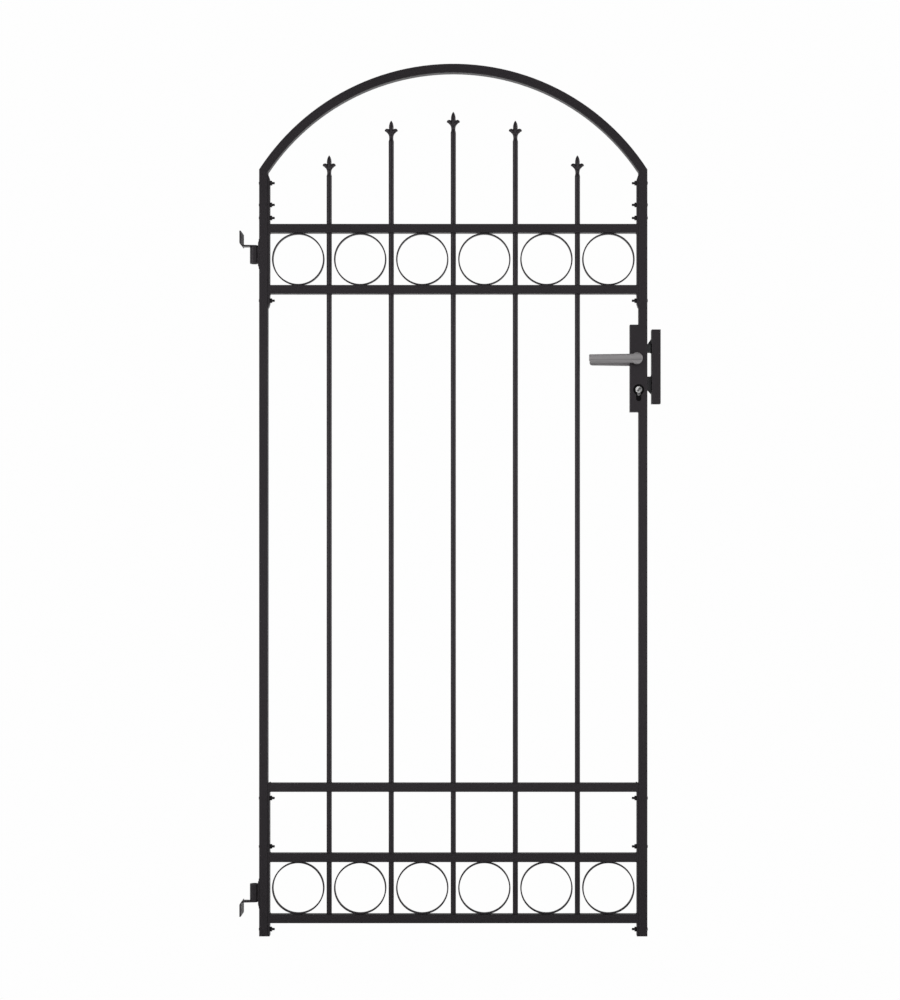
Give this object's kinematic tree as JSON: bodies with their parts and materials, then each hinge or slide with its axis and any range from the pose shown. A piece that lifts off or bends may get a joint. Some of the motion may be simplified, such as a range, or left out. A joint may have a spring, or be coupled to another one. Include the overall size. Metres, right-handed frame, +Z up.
{
  "type": "arched steel garden gate",
  "caption": "Arched garden gate leaf of steel tube with upright spear bars and ring bands, wall hinges, lever lock and strike.",
  "frame": {"origin": "middle of the flat outer face of the lower wall bracket's flange, where it is screwed to the post or wall", "axes": "+X from the hinge side to the strike, -Y towards the side the gate opens to, +Z up"},
  "size_m": [0.963, 0.078, 1.9999],
  "materials": {
    "black_paint": "satin black powder coat",
    "strike_coat": "satin black powder coat, greyer on the stop's ears",
    "painted_fasteners": "satin black coated steel",
    "cap_plastic": "matt black moulded plastic",
    "lock_black": "black lock body",
    "cylinder_nickel": "matt nickel",
    "plug_nickel": "bright nickel",
    "bolt_steel": "dark phosphated steel",
    "lever_alloy": "satin grey anodised alloy"
  },
  "bodies": {
    "root": {"lower_wall_bracket": "black_paint", "upper_wall_bracket": "black_paint", "strike": "strike_coat"},
    "leaf": {"hinge_stile": "black_paint", "lock_stile_lower": "black_paint", "lock_stile_upper": "black_paint", "arch_top": "black_paint", "hinge_plate_low": "black_paint", "hinge_plate_high": "black_paint", "lock_plate_low": "black_paint", "lock_plate_high": "black_paint", "bottom_rail": "black_paint", "lower_band_rail": "black_paint", "lower_rail": "black_paint", "upper_band_rail": "black_paint", "top_rail": "black_paint", "bar_1": "black_paint", "bar_2": "black_paint", "bar_3": "black_paint", "bar_4": "black_paint", "bar_5": "black_paint", "spear_1": "black_paint", "spear_2": "black_paint", "spear_3": "black_paint", "spear_4": "black_paint", "spear_5": "black_paint", "lower_rings": "black_paint", "upper_rings": "black_paint", "hinge_side_bolts": "painted_fasteners", "lock_side_bolts": "painted_fasteners", "hinge_side_nuts": "painted_fasteners", "lock_side_nuts": "painted_fasteners", "foot_caps": "cap_plastic", "lower_hinge_barrel": "black_paint", "upper_hinge_barrel": "black_paint", "lock_case": "black_paint", "lock_body": "lock_black", "lock_cylinder": "cylinder_nickel", "cylinder_plug": "plug_nickel", "dead_bolt": "bolt_steel"},
    "handle": {"front_lever": "lever_alloy", "back_lever": "lever_alloy", "spindle": "bolt_steel"},
    "latch": {"latch_bolt": "bolt_steel"}
  },
  "joints": [
    {"name": "leaf_swing", "type": "hinge", "parent": "root", "child": "leaf", "pos_m": [0.0305, 0, 0], "axis": [0, 0, -1], "range_deg": [0, 90]},
    {"name": "handle_turn", "type": "hinge", "parent": "leaf", "child": "handle", "pos_m": [0.9125, 0, 1.26005], "axis": [0, -1, 0], "range_deg": [0, 40], "stiffness_Nm_per_rad": 1.2, "springref_deg": -20.05},
    {"name": "latch_slide", "type": "slide", "parent": "leaf", "child": "latch", "axis": [-1, 0, 0], "range_m": [0, 0.009]}
  ],
  "couplings": [
    {"joint": "latch_slide", "follows": "handle_turn", "m_per_rad": 0.01289}
  ]
}
